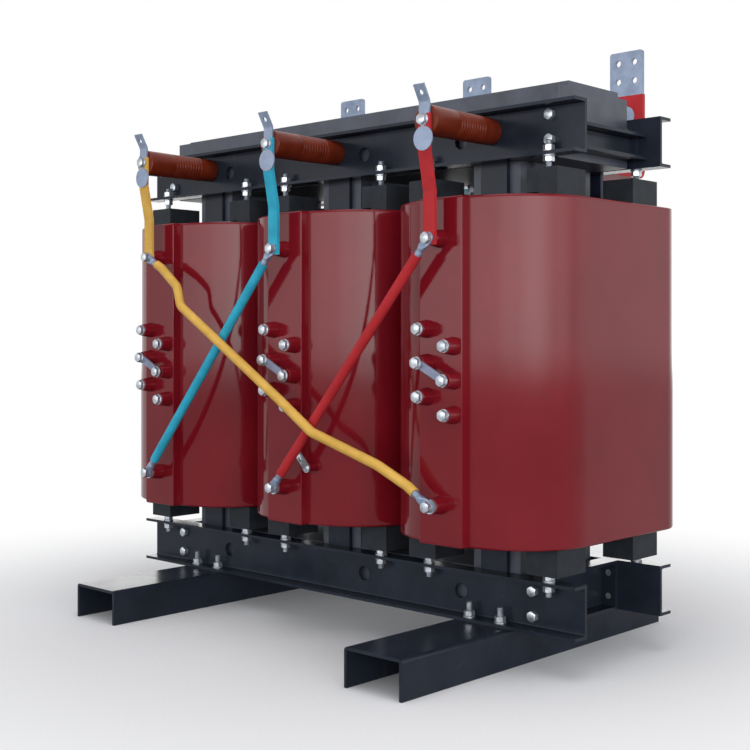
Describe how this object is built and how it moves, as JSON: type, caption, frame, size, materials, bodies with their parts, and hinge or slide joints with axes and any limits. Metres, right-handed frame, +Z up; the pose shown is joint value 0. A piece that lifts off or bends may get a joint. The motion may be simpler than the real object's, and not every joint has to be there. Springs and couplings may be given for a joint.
{
  "type": "dry type transformer",
  "caption": "Open cast-resin dry type transformer: crowned coils in a row on a clamped core, grooved posts, delta rods, flat low-voltage bars and channel feet.",
  "frame": {"origin": "on the floor, at the middle of the base channels' footprint", "axes": "+Z up, +X along the row of coils, -Y towards the high-voltage side"},
  "size_m": [1.62, 1.072, 1.596],
  "materials": {
    "cast_resin": "glossy deep maroon cast resin",
    "winding_resin": "dark blue resin-soaked foil winding",
    "core_steel": "stacked electrical sheet under dark lacquer",
    "frame_steel": "dark charcoal-navy paint, semi-gloss",
    "post_resin": "brown-red cast resin, satin",
    "block_resin": "dark grey moulded resin",
    "zinc": "zinc-plated steel, slightly bluish",
    "tinned_copper": "tinned copper, satin",
    "yellow_sleeve": "yellow sleeve",
    "cyan_sleeve": "cyan sleeve",
    "red_sleeve": "red sleeve",
    "marker": "satin aluminium"
  },
  "bodies": {
    "root": {"bar_sleeve_a": "yellow_sleeve", "bar_sleeve_b": "cyan_sleeve", "bar_sleeve_c": "red_sleeve", "base_channel_left": "frame_steel", "base_channel_right": "frame_steel", "core_bottom_yoke": "core_steel", "core_limb_a": "core_steel", "core_limb_b": "core_steel", "core_limb_c": "core_steel", "core_top_yoke": "core_steel", "delta_lugs": "tinned_copper", "delta_rod_a": "yellow_sleeve", "delta_rod_b": "cyan_sleeve", "delta_rod_c": "red_sleeve", "foot_bolts": "zinc", "foot_nuts": "zinc", "frame_bolts": "zinc", "hv_coil_a": "cast_resin", "hv_coil_b": "cast_resin", "hv_coil_c": "cast_resin", "hv_lead_a": "tinned_copper", "hv_lead_b": "tinned_copper", "hv_lead_c": "tinned_copper", "lead_sleeve_a": "yellow_sleeve", "lead_sleeve_b": "cyan_sleeve", "lead_sleeve_c": "red_sleeve", "lower_blocks": "block_resin", "lower_clamp_front": "frame_steel", "lower_clamp_rear": "frame_steel", "lower_end_tie_left": "frame_steel", "lower_end_tie_right": "frame_steel", "lower_stud_nuts": "zinc", "lower_studs": "zinc", "lv_busbar_a": "tinned_copper", "lv_busbar_b": "tinned_copper", "lv_busbar_c": "tinned_copper", "lv_winding_a": "winding_resin", "lv_winding_b": "winding_resin", "lv_winding_c": "winding_resin", "marker_discs": "marker", "post_bolts": "zinc", "post_insulator_a": "post_resin", "post_insulator_b": "post_resin", "post_insulator_c": "post_resin", "spare_lug": "zinc", "tap_bolts": "zinc", "tap_links": "tinned_copper", "terminal_bolts": "zinc", "tie_plates": "frame_steel", "upper_blocks": "block_resin", "upper_clamp_front": "frame_steel", "upper_clamp_rear": "frame_steel", "upper_end_tie_left": "frame_steel", "upper_end_tie_right": "frame_steel", "upper_stud_nuts": "zinc", "upper_studs": "zinc"}
  },
  "joints": []
}
